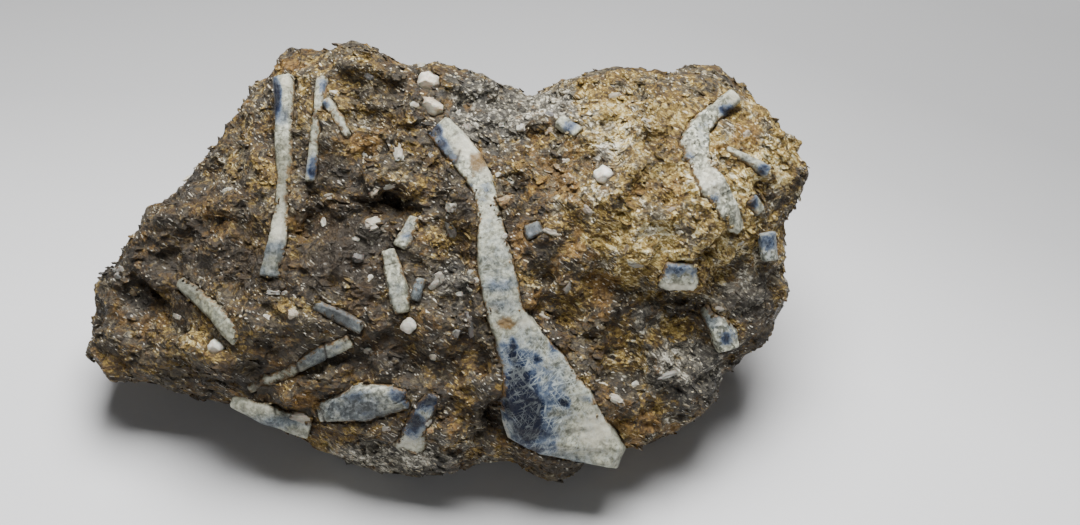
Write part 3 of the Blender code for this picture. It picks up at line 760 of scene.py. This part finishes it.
def make_flakes(rock, crystals, material):
    """Loose mica plates all over the rock, most of them along its layers."""
    chance = np.random.default_rng(FLAKE_SEED)
    points, normals = points_of(rock.data), points_of(rock.data, "normal")
    high = points[:, 2] > FLAKES_FROM * MM
    picked = chance.choice(np.flatnonzero(high), FLAKES, replace=False)
    gaps = gaps_to(crystals, points[picked], 1000)
    clear = gaps > 0.1
    picked, gaps = picked[clear], gaps[clear]
    centres, outward = to_face(points[picked]), normals[picked] @ TURN
    layers = np.array(SPLIT_WAY) * np.sign(outward @ np.array(SPLIT_WAY))[:, None]
    count = len(picked)
    facing = unit(0.75 * layers + outward + 0.3 * chance.normal(size=(count, 3)))
    streak = np.array(STREAK_WAY) + 0.35 * chance.normal(size=(count, 3))
    long_ways = unit(streak - (streak * facing).sum(axis=1, keepdims=True) * facing)
    sizes = 0.22 + 0.50 * chance.random(count) ** 2.4
    sizes = np.minimum(sizes, 0.25 + 0.4 * gaps)
    thick = sizes * (0.35 + 0.35 * chance.random(count))
    centres = centres + outward * (0.12 * chance.random(count) * sizes)[:, None]
    rings = plate_rings(chance, centres, facing, long_ways, sizes, thick)
    make_plates("mica_flakes", rings, chance.normal(0, 0.085, count), material)


def make_edge_crumbs(rock, crystals, material):
    """Crumbs of rock that lie over stretches of the crystals' edges."""
    chance = np.random.default_rng(CRUMB_SEED)
    centres, outward = [], []
    for vert in rock.data.vertices:
        place, normal = vert.co, vert.normal
        touch, _, _, gap = crystals.find_nearest(place, CRUMB_REACH * MM)
        if touch is None or gap < 0.05 * MM:
            continue
        covered = noise.noise(place / (2.6 * MM)) + 0.5 * noise.noise(place / MM)
        if covered < CRUMBS_FROM or crystals.ray_cast(place, normal, 3 * MM)[0]:
            continue
        over = (touch - place).normalized() * (gap + (0.55 * chance.random() - 0.1) * MM)
        lift = normal * (0.10 + 0.25 * chance.random()) * MM
        centres.append(place + over + lift + Vector(chance.normal(size=3)) * 0.15 * MM)
        outward.append(normal)
    centres, outward = to_face(np.array(centres)), np.array(outward) @ TURN
    count = len(centres)
    facing = unit(outward + 0.6 * chance.normal(size=(count, 3)))
    long_ways = unit(np.cross(facing, chance.normal(size=(count, 3))))
    sizes = 0.14 + 0.28 * chance.random(count) ** 2.2
    rings = plate_rings(chance, centres, facing, long_ways, sizes, sizes)
    make_plates("edge_crumbs", rings, chance.normal(0, 0.08, count), material)


# ---- small grains
# Small pale grains in the rock: u, v, length, width, turn in degrees, tint.
SMALL_GRAINS = [
    (-4.4, 30.6, 1.6, 1.2, 20, 0.1), (1.2, 23.6, 1.6, 1.2, 40, 0), (2.6, 21.6, 1.4, 1.1, -50, 0),
    (10.5, 21.4, 1.3, 1.1, 0, 0.2), (7.7, 21.7, 0.9, 0.7, 10, 0), (7.2, 14.3, 1, 0.7, 30, 0.1),
    (9, 13.4, 1.4, 0.7, -35, 0.1), (-3, 17.1, 1.1, 0.8, 30, 0), (-0.2, 9.3, 1.7, 1.3, 0, -0.2),
    (0, 6.4, 3.6, 1.3, 92, -0.7), (8.4, 10.5, 2.3, 1.5, 25, 1), (8.2, 5.1, 0.9, 0.8, 60, 0),
    (-2.1, -1.7, 3, 1.8, 35, -0.1), (3, -0.4, 1, 0.8, 50, 0), (2.8, -2.8, 1.4, 0.8, -30, 0),
    (1.5, -3.6, 1, 0.7, 10, 0), (3.8, -1.6, 1.1, 0.8, 20, 0.1), (-12.1, 29.1, 1.4, 1.2, 0, -0.8),
    (-17.4, 26.7, 1.3, 0.7, -20, 0), (-8, 17.9, 2.9, 1.3, -65, 0.1), (-12.7, 17.2, 2.2, 0.8, -40, 0.2),
    (-8.8, 12.6, 3, 1.3, 15, 0), (-11.2, 11.3, 1.3, 1, 30, 0.4), (-11.5, 7.4, 2.2, 1.6, 50, 0.35),
    (-10.1, 6.5, 1.7, 1.4, 20, 0.45), (-18.3, 11, 1.3, 1, 0, 0.4), (-19, 7.3, 1.5, 0.8, 105, 0.3),
    (-14, 4.7, 1, 0.9, 0, 0), (-13.6, 2.6, 2.4, 1.9, 70, -0.9), (-12.1, -1.2, 1.2, 0.8, 60, 0),
    (-22.4, 7.6, 2.4, 1.8, 70, 0.8), (-49.8, -0.5, 2.2, 1.6, 20, -0.6), (-47.6, -3.2, 3, 1.4, 15, 0.7),
    (-41, -7, 1.7, 0.7, -10, 0.3), (-23.4, -6.4, 1.5, 1.4, 0, 0.4), (-27.4, -7, 1.3, 0.9, -20, 0.2),
    (-26.6, -3.3, 2.2, 0.8, -5, -0.4), (-24.8, -3.4, 1, 0.7, 0, 0.2), (-10.7, -4.1, 2.6, 0.5, -22, 0.4),
    (-2.7, -13.1, 1.4, 1.1, 0, 0.4), (-12.6, -12.3, 1.7, 0.9, 20, 0.3), (0.9, -9.7, 1.6, 1, 70, -0.8),
    (-3.1, -22.9, 1.2, 0.9, 60, 0.1), (-2.9, -24, 1.1, 0.9, 0, 1), (-22.4, -21.6, 3.2, 1.6, -10, 0.3),
    (-9.6, -23.8, 1.2, 0.8, 0, -0.2), (15.5, 5.6, 2.6, 0.8, -15, 0.3), (28, 0.8, 2.2, 1.1, -25, 0.2),
    (26.6, 3.6, 2.4, 0.8, 60, 0.7), (40.4, -5.9, 1.3, 0.8, 0, 0.3), (43.5, 3.9, 1.5, 0.7, 20, 0.4),
    (46.3, -4.9, 1.7, 1.4, 40, 0), (14.3, -6.8, 1.7, 1.1, -20, 0.4), (24.8, -19.5, 2.2, 1.2, -30, 0.3),
    (28, -17.2, 1.7, 1.2, 20, 0), (32.7, -15.6, 2.8, 0.8, 45, -0.5), (17.9, -2.5, 2.2, 1, 55, -0.5),
    (3.6, -8.4, 3.6, 1.9, -80, -1), (15, 23.2, 1.9, 1, -50, -0.9), (14.8, 21, 1.6, 1, 20, 0.6),
    (29.4, 22.4, 1.6, 1, -30, 0.5), (33, 9, 1.8, 0.9, 40, 0.6), (20.6, 8.8, 1.5, 0.9, -40, 0.5),
    (24.5, 26, 1.8, 1, 10, 0.5), (44.6, 20.4, 1.6, 1, 30, 0.5), (17.4, 16.4, 1.2, 0.8, 0, 0.3),
    (-33.5, 12, 1.3, 0.8, 30, 0.4), (-30.4, 20, 1.2, 0.8, -40, 0.4), (-5.2, 24.8, 1.3, 0.9, 0, 0.2),
]
SMALL_GRAIN_SEED = 11


def ball_parts():
    """The points and faces of a ball 1 across."""
    bpy.ops.mesh.primitive_ico_sphere_add(subdivisions=3, radius=0.5)
    source = bpy.context.object
    points = points_of(source.data)
    faces = np.array([face.vertices[:] for face in source.data.polygons])
    bpy.data.objects.remove(source)
    return points, faces


def uneven_lump(ball, index):
    """The ball's points as a boxy, broken lump, a different one for each index."""
    shift = Vector((index, 0, 0))
    rough = np.array([
        1 + 0.2 * noise.noise(Vector(p) * 2.6 + shift) + facets(Vector(p) * 2 + shift, 0.3, 0.6)
        for p in ball
    ])
    boxy = ball / np.abs(ball).max(axis=1, keepdims=True) * 0.42
    return (ball * 0.45 + boxy * 0.55) * rough[:, None]


def make_small_grains(tree, material):
    """Each small grain is a blunt lump, sunk into the surface where it is seen."""
    chance = np.random.default_rng(SMALL_GRAIN_SEED)
    ball, ball_faces = ball_parts()
    verts, faces, tints, shades = [], [], [], []
    for index, (u, v, length, width, turn, tint) in enumerate(SMALL_GRAINS):
        place, normal = seen_on(tree, u, v)
        along = way_at(turn)
        along = (along - normal * along.dot(normal)).normalized()
        axes = np.array((along, normal.cross(along), normal))
        size = np.array((length, width, width * 0.8)) * 1.15 * MM
        sunk = np.array(place - normal * ((0.20 + 0.08 * width) * width * MM))
        faces += (ball_faces + len(verts) * len(ball)).tolist()
        verts.append(uneven_lump(ball, index) * size @ axes + sunk)
        tints += [tint + 0.2 * (chance.random() - 0.5)] * len(ball)
        shades += [0.36 + 0.12 * width + 0.35 * chance.random()] * len(ball)
    mesh = bpy.data.meshes.new("small_grains")
    mesh.from_pydata(np.concatenate(verts), [], faces)
    set_attribute(mesh, "tint", tints)
    set_attribute(mesh, "shade", shades)
    finish_piece(new_object("small_grains", mesh), "matrix", material)


# ---- the crystals
# Patches of the crystals' colours: u, v, reach along u and along v, amount.
BLUE = [
    (-25.8, 25, 0.9, 3, 1), (-19, 27.5, 1, 1.4, 0.9), (-20.5, 15.4, 1.2, 2, 1),
    (-18.5, 24.7, 0.7, 0.7, 1.2), (-16.4, 21.4, 0.5, 1.2, 0.6), (-2, 20.6, 1.1, 1.3, 1.1),
    (-0.8, 18.3, 1.1, 1.3, 0.9), (0.5, 16.7, 1, 1, 0.8), (5.6, 12.2, 1, 1.1, 0.8), (4.9, 10.5, 1, 0.8, 0.6),
    (7.6, -2.2, 2.6, 1.2, 0.5), (8.2, -12.2, 2, 2, 0.9), (11.4, -13.2, 3, 2.2, 0.85),
    (11.2, -19.4, 3.8, 7, 1), (15, -18.6, 2.8, 3.4, 0.8), (17, -19.8, 1.3, 1.2, 0.9),
    (15.2, -24.2, 2.4, 2.8, 0.8), (20.4, -19.2, 1.4, 1.4, 0.5), (15.6, -11.8, 1.5, 1.8, 0.7),
    (13.8, -15.2, 2.2, 2.2, 0.6), (18, -22.2, 1.4, 1.2, 0.45), (13.4, -27, 2.6, 0.9, 0.7),
    (41.4, 24, 1.5, 1.2, 0.9), (35.8, 16.9, 1.1, 1, 0.75), (39.4, 10.4, 1.1, 0.9, 0.9),
    (38, 21, 2, 2.2, 0.35), (46.9, 15.2, 1.2, 0.9, 0.9), (45, 10.4, 1, 1.3, 1.3), (47.9, 4.2, 2, 1.5, 0.72),
    (34.2, 0.1, 3.2, 1.2, 0.62), (41.6, -10, 1.5, 1.5, 0.62), (-4.4, -19.6, 2.6, 1.8, 1.1),
    (-5.4, -23, 1.8, 1.8, 1.2), (-14.2, -19, 2.2, 1, 0.8), (-8, -18.6, 2, 1.4, 0.9), (-6.4, 5, 1, 1.2, 0.6),
    (12.6, 5.8, 1.2, 1.2, 0.6), (18, 21.4, 1.2, 1, 1.1), (-16.4, -11.4, 1.6, 1.4, 0.45),
    (-7.6, -5, 1, 1.2, 0.4),
]
NAVY = [
    (9.5, -11.4, 0.7, 1.2, 0.9), (9.5, -13.2, 0.8, 1.6, 1), (10.1, -16.4, 1.7, 2.2, 1.3),
    (10.4, -19.6, 2.2, 2.4, 1.6), (11.8, -23.4, 1.9, 2.8, 1.6), (12.9, -20.6, 1.4, 1.6, 1),
    (8.5, -18.4, 0.9, 1.2, 0.9), (12.8, -26.6, 1.3, 0.7, 0.9), (13.2, -13.5, 0.8, 0.5, 0.7),
    (15.5, -11.1, 0.6, 0.7, 0.5), (17, -19.8, 0.9, 0.8, 0.8), (15.5, -26.8, 0.7, 0.6, 0.6),
    (41.3, 23.8, 0.9, 0.7, 0.7), (-2.1, 20.8, 0.7, 0.8, 1.3), (-1.2, 19, 0.6, 0.8, 0.8),
    (3.2, 12.6, 0.4, 0.6, 0.7), (-26.1, 26.6, 0.6, 2.2, 1.5), (-5.8, -18.9, 1.7, 1.2, 1.1),
    (-3, -19.2, 1.2, 1, 0.9), (41.4, -10.3, 0.7, 0.9, 0.62), (33.2, 0.1, 0.6, 0.5, 0.35),
    (35.2, 0.3, 0.5, 0.4, 0.3), (44.9, 10.4, 0.6, 0.8, 1), (-20.8, 14.4, 0.5, 0.8, 0.5),
    (-12.6, -21.4, 1.6, 0.6, 0.6), (-5.4, -22.4, 0.9, 0.8, 0.8), (47.1, 15, 0.7, 0.5, 0.5),
]
HAZE = [
    (7, 1.5, 3, 3.5, 0.45), (7.3, -2.3, 3.4, 1.7, 0.9), (7.8, -5.2, 3, 1.5, 0.75),
    (-1.1, 18.9, 0.9, 0.9, 1.3), (-0.3, 17.7, 0.9, 0.9, 1.3), (0.6, 16.6, 0.9, 0.8, 1.2),
    (-14, -20.8, 7, 3, 0.95), (-20.4, -13, 4, 2.4, 0.85), (-16.6, -6.8, 5, 3, 1.3),
    (-26, -22.8, 7, 1.2, 0.9), (38.8, -7, 2.4, 2.4, 0.95), (17, -28.8, 4.5, 0.9, 1), (12.6, 5.8, 2, 2, 1),
    (-8.2, -3.4, 1.5, 2.4, 0.5), (-4.8, -3, 1.5, 3, 1), (16, -28, 6, 1.2, 0.7), (37.6, 20, 3, 4, 0.25),
    (40, 12, 2.6, 4, 0.28), (-26.4, 2.6, 2.6, 1.6, 1.5), (-25.5, 23, 1.4, 1.5, 1.2),
    (-26.8, -0.2, 2.2, 1.4, 1.2), (11.6, -14, 4, 9, 0.55), (15.6, -17.5, 3.6, 7, 0.75),
    (12, -12, 3, 2, 0.6), (47.9, 2, 2, 1.2, 0.5), (36, -1, 2, 1, 0.3), (41.6, -9, 2.2, 3, 0.55),
    (-6.4, 6, 1.4, 1.8, 0.5), (45, 16.4, 2.4, 0.8, 0.4),
]
GREEN = [
    (-36, -6, 7, 7, 0.72), (5.2, 16, 3, 4, 0.25), (-25, 15, 2, 7, 0.7), (-20, 20, 1.5, 4, 0.45),
    (-26.6, 1, 2.2, 2.4, 0.7), (-8.2, -2, 1.6, 3, 0.3), (21, -22, 4, 5, 0.12), (38.2, -6.2, 1.6, 1.6, 0.7),
]
CREAM = [
    (2.6, 18.4, 2.4, 2.4, 0.95), (5.4, 14.4, 1.6, 1.4, 0.6), (11.4, -8, 1.6, 1.2, 0.8),
    (5.6, 8.4, 2, 3, 0.5), (-25.4, 6.4, 2, 2.6, 0.8), (-24.6, 28.2, 0.9, 1.4, 0.9),
    (-21.4, -15.2, 1.6, 1.2, 0.9), (6, -14.8, 0.6, 2.6, 1.2), (8.6, -23.4, 0.8, 3, 1.1),
    (34.4, -2.6, 3.2, 0.8, 0.85), (-28.6, -20.6, 3.4, 1.2, 0.5), (-6.2, -26, 3, 1, 0.6),
    (39, 13.5, 3, 4, 0.62), (42.6, 26, 0.9, 0.9, 1), (-25, 13, 1.6, 8, 0.45), (22, -24, 3.4, 3.6, 0.8),
    (35.4, 18.6, 2, 3, 0.4),
]
STAIN = [
    (4.2, 16.1, 1.2, 1.5, 1.5), (8.3, -8, 1.6, 1.1, 1.15), (-21, -22.2, 1.6, 1, 1),
    (-3.2, -22.8, 0.8, 0.8, 0.6), (-29, -17.2, 2, 1, 0.6), (-24.6, 11, 0.8, 1.2, 0.6),
    (3.6, 14.2, 0.6, 0.9, 0.6), (6.8, -5.8, 1, 1, 0.5), (-37, -4.2, 1.2, 0.8, 0.5),
    (3.9, 17.8, 0.8, 0.7, 0.5),
]
# Painted shade on the crystals, also over some of their own darker places.
SHADE_AND_DARK = [
    (-16.6, -7, 5, 3, 0.86), (-39.8, -2.6, 3, 2.2, 0.6), (-20.6, -13.2, 3, 1.4, 0.3),
    (-29.5, -17.4, 3, 1.2, 0.5), (-4.8, -4.4, 1.4, 1.4, 0.4), (38.4, -6, 1.6, 1.6, 0.4),
    (-8, -20.4, 2.4, 1.2, 0.6), (-13, -22.6, 5, 0.9, 0.4), (22.8, -26.2, 2.6, 1.6, 0.1),
    (-13, -20.6, 6, 2.4, 0.8), (12.6, 5.8, 1.6, 1.6, 0.7), (-22.4, -23.8, 1.6, 1.2, 0.6),
    (-25, 15, 2, 8, 0.3), (-26.6, 1.5, 2.2, 3.2, 0.45), (-26, -21.8, 6, 2, 0.2),
    (-26.4, 2.8, 2.2, 1.3, 0.4), (-1, 18.6, 0.8, 0.9, 0.35), (0.3, 17, 0.8, 0.9, 0.35),
    (7.6, -5, 3, 1.6, 0.32), (-25.2, 22.9, 1.4, 1.2, 0.25),
]
LINED = [(13, -18, 13, 14, 1), (6, 4, 8, 14, 0.45)]
SUGAR = [
    (38, 20, 5, 6, 1), (40, 12, 4, 5, 1), (-16, -20, 8, 3, 0.7), (-6, -21, 4, 4, 0.6), (4, 15, 4, 8, 0.55),
    (-25, 20, 2, 6, 0.4), (14, -18, 6, 8, 0.25), (-6, 2, 3, 5, 0.5), (34.3, 0, 4, 2, 1),
    (41.5, -9.5, 3, 4, 1), (48, 3.5, 3, 3, 1),
]
CRYSTAL_PATCHES = {
    "blue": BLUE, "navy": NAVY, "haze": HAZE, "green": GREEN, "cream": CREAM, "rust": STAIN, "shade_and_dark": SHADE_AND_DARK,
    "sugar": SUGAR, "lined": LINED,
}
# Cracks across the crystals: u and v of both ends, half width, how open it is.
CRACKS = [
    (-18.96, -11.2, -18.4, -13.4, 0.22, 1), (-23.3, -13.3, -22.6, -15.4, 0.22, 1),
    (-26.8, -19, -26.1, -21.7, 0.2, 1), (-19.8, -20, -18.7, -22.6, 0.25, 0.9), (1.5, 17.8, 0.9, 16, 0.2, 1),
    (5.6, 12.4, 5.4, 10.4, 0.14, 0.35), (7, -7, 9.6, -8.2, 0.16, 0.5),
    (-38.6, -2.4, -37.4, -4.6, 0.12, 0.4), (37, 17.2, 35.4, 16, 0.18, 0.6), (-9.6, 0.6, -8, 1, 0.14, 0.5),
]
CRACK_DEPTH = 0.18
BLUE_CRYSTALS = ("blue_stub", "right_edge", "ledge", "right_block")
# No crumbs lie over these.
THIN_CRYSTALS = ("needle", "splinter", "hexagon", "centre_side", "right_splinter", "jointed_rod")
CRYSTAL_VOXEL, MAIN_VOXEL, GRAIN_VOXEL = 0.14, 0.2, 0.14
CRYSTAL_SWELL, GRAIN_SWELL = 0.2, 0.12
CRYSTAL_WEAR = {"sapphire_right_bent": 2.2, "sapphire_grey_barrel": 1.8}
EDGE_REACH, GRAIN_EDGE_REACH = 1.6, 0.8  # how far from the rock they darken, and crystals take crumbs over their edges


def make_crystal(node, materials, rock_tree):
    """A CAD crystal, worn and pitted, a hair wider so that it meets the rock."""
    voxel = MAIN_VOXEL if node == "sapphire_main" else CRYSTAL_VOXEL
    obj = remeshed(node, voxel, node + "_crystal")
    mesh = obj.data
    face = to_face(points_of(mesh))
    places = seen_places(face)
    crack = strokes(places, CRACKS)
    wear = CRYSTAL_WEAR.get(node, 1)
    moves = np.empty(len(face))
    for index, row in enumerate(face):
        point = Vector(row)
        move = CRYSTAL_SWELL + 0.07 * wear * noise.fractal(point / 2.6, 0.8, 2, 4)
        moves[index] = move + wear * facets(point / 1.5, 0.07, 0.12)
    moved = moved_out(mesh, moves - CRACK_DEPTH * crack)
    set_points(mesh, moved)
    for name, patches in CRYSTAL_PATCHES.items():
        set_attribute(mesh, name, spots(places, patches))
    set_attribute(mesh, "crack", crack)
    set_attribute(mesh, "edge", nearness(rock_tree, moved, EDGE_REACH))
    mesh.shade_smooth()
    slot = "sapphire_blue" if node.removeprefix("sapphire_") in BLUE_CRYSTALS else "sapphire"
    finish_piece(obj, node, materials[slot])
    return obj


# ---- the five larger grains
# Amber stains and duller places on them: u, v, reach along u and along v, amount.
TINTS = [
    (-2.7, 28.2, 1.3, 1, 0.45), (-1.8, 24.1, 1.3, 0.9, 0.62), (-2.8, 22.8, 1.6, 0.8, 1),
    (-3, 26.5, 3, 4, 0.54), (-6.2, -8.4, 1.2, 1.2, 0.1), (-35.2, -12.6, 1.6, 0.8, 0.4),
]
SHADES = [
    (-1.6, 25.6, 1.2, 0.7, 0.25), (-6.4, -7.6, 2, 2, 0.62), (-3.6, 22.8, 2, 0.8, 0.25),
    (-35.2, -12.8, 2, 1, 0.4), (-6.2, -8.8, 1.6, 1, 0.45), (-1.2, 27.6, 0.8, 0.8, 0.45),
    (-35.6, -11.6, 2, 1.2, 0.35),
]
BREAKS, BREAK_DEPTH, BREAK_SEED = 9, 0.28, 5  # how many flat breaks, and the share they cut off


def broken_flat(points, chance):
    """Face-frame points with their outer side cut by flat breaks."""
    middle = points.mean(axis=0)
    for way in unit(np.abs(chance.normal(size=(BREAKS, 3))) * (1, 1, 0.8) + (0, 0, 0.25)):
        way = way * (chance.choice((-1, 1)), chance.choice((-1, 1)), 1)
        reach = (points - middle) @ way
        limit = reach.max() * (1 - BREAK_DEPTH * chance.random())
        points = points - np.maximum(reach - limit, 0)[:, None] * way
    return points


def make_grain(node, material, rock_tree):
    """A CAD grain, broken flat on its outer side; only the bead stays round."""
    obj = remeshed(node, GRAIN_VOXEL, node + "_grain")
    mesh = obj.data
    face = to_face(points_of(mesh))
    places = seen_places(face)
    moved = moved_out(mesh, [GRAIN_SWELL + facets(Vector(row) / 1.2, 0.1, 0.25) for row in face])
    if node != "quartz_bead":
        moved = from_face(broken_flat(to_face(moved), np.random.default_rng(BREAK_SEED)))
    set_points(mesh, moved)
    # The grain is darker near the rock.
    darker_near_rock = 0.75 * nearness(rock_tree, moved, GRAIN_EDGE_REACH)
    set_attribute(mesh, "tint", spots(places, TINTS))
    set_attribute(mesh, "shade", np.maximum(spots(places, SHADES), darker_near_rock))
    mesh.shade_smooth()
    finish_piece(obj, node, material)


# ---- stage
SENSOR, FRAME_WIDTH = 36, 162  # the picture's width is 162 mm where it crosses the face
FLOOR_SIZE = 6  # metres
# Where each light stands, how wide it is, in metres, and its watts.
LIGHTS = {"key": ((0.025, 0.15, 0.45), 0.32, 6.9), "fill": ((-0.15, -0.6, 0.2), 0.5, 0.8)}
LIT_PLACE = Vector((0, 0, 0.02))
GREY_TO, DIM_FROM = 0.08, 0.26  # the z of a view's way where the grey ends, and the sky is dim


def make_floor():
    """The floor under the specimen, which is no part of it."""
    bpy.ops.mesh.primitive_plane_add(size=FLOOR_SIZE)
    floor = bpy.context.object
    floor.name = "floor"
    floor.data.materials.append(floor_material())


def make_light(name, at, size, power):
    """A square light that shines at the specimen."""
    light = bpy.data.lights.new(name, "AREA")
    light.size = size
    light.energy = power
    obj = new_object(name, light)
    obj.location = at
    obj.rotation_euler = (LIT_PLACE - Vector(at)).to_track_quat("-Z", "Y").to_euler()


def make_camera():
    """The camera at the photographer's eye, square to the face."""
    camera = bpy.data.cameras.new("camera")
    camera.sensor_width = SENSOR
    camera.lens = SENSOR * EYE.z / FRAME_WIDTH
    camera.clip_start = 0.01
    obj = new_object("camera", camera)
    place = FACE_MIDDLE + FACE_TURN @ (EYE * MM)
    obj.matrix_world = Matrix.Translation(place) @ FACE_TURN.to_4x4()
    bpy.context.scene.camera = obj


def make_world():
    """A dim sky above a horizon as bright as the far floor."""
    look = Look("world", "worlds")
    height = look.add("MapRange")
    look.put_all(height, {
        "Value": look.parts(look.coords["Generated"], "XYZ")[2],
        "From Min": GREY_TO,
        "From Max": DIM_FROM,
        "To Min": BACKDROP,
        "To Max": OVERHEAD,
    })
    values = {"Color": SKY, "Strength": height.outputs["Result"]}
    bpy.context.scene.world = look.surface(values, "Background")


def main():
    make_camera()
    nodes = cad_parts
    crystal_nodes = [name for name in nodes if name.startswith("sapphire")]
    grain_nodes = [name for name in nodes if name.startswith(("feldspar", "quartz"))]
    near = surfaces_of([nodes[name].data for name in crystal_nodes + grain_nodes])
    rock = make_rock(near)
    rock_tree = surfaces_of([rock.data])
    mica = schist_material("mica", own_tone=True)
    make_flakes(rock, near, mica)
    broad = [name for name in crystal_nodes if name.removeprefix("sapphire_") not in THIN_CRYSTALS]
    make_edge_crumbs(rock, surfaces_of([nodes[name].data for name in broad]), mica)
    feldspar = feldspar_material()
    materials = {
        "sapphire": sapphire_material("sapphire", 0),
        "sapphire_blue": sapphire_material("sapphire_blue", 0.12),
    }
    crystals = [make_crystal(name, materials, rock_tree) for name in crystal_nodes]
    for name in grain_nodes:
        make_grain(name, feldspar, rock_tree)
    seen = surfaces_of([rock.data] + [crystal.data for crystal in crystals])
    make_small_grains(seen, feldspar)
    make_floor()
    for name, (at, size, power) in LIGHTS.items():
        make_light(name, at, size, power)
    make_world()


main()
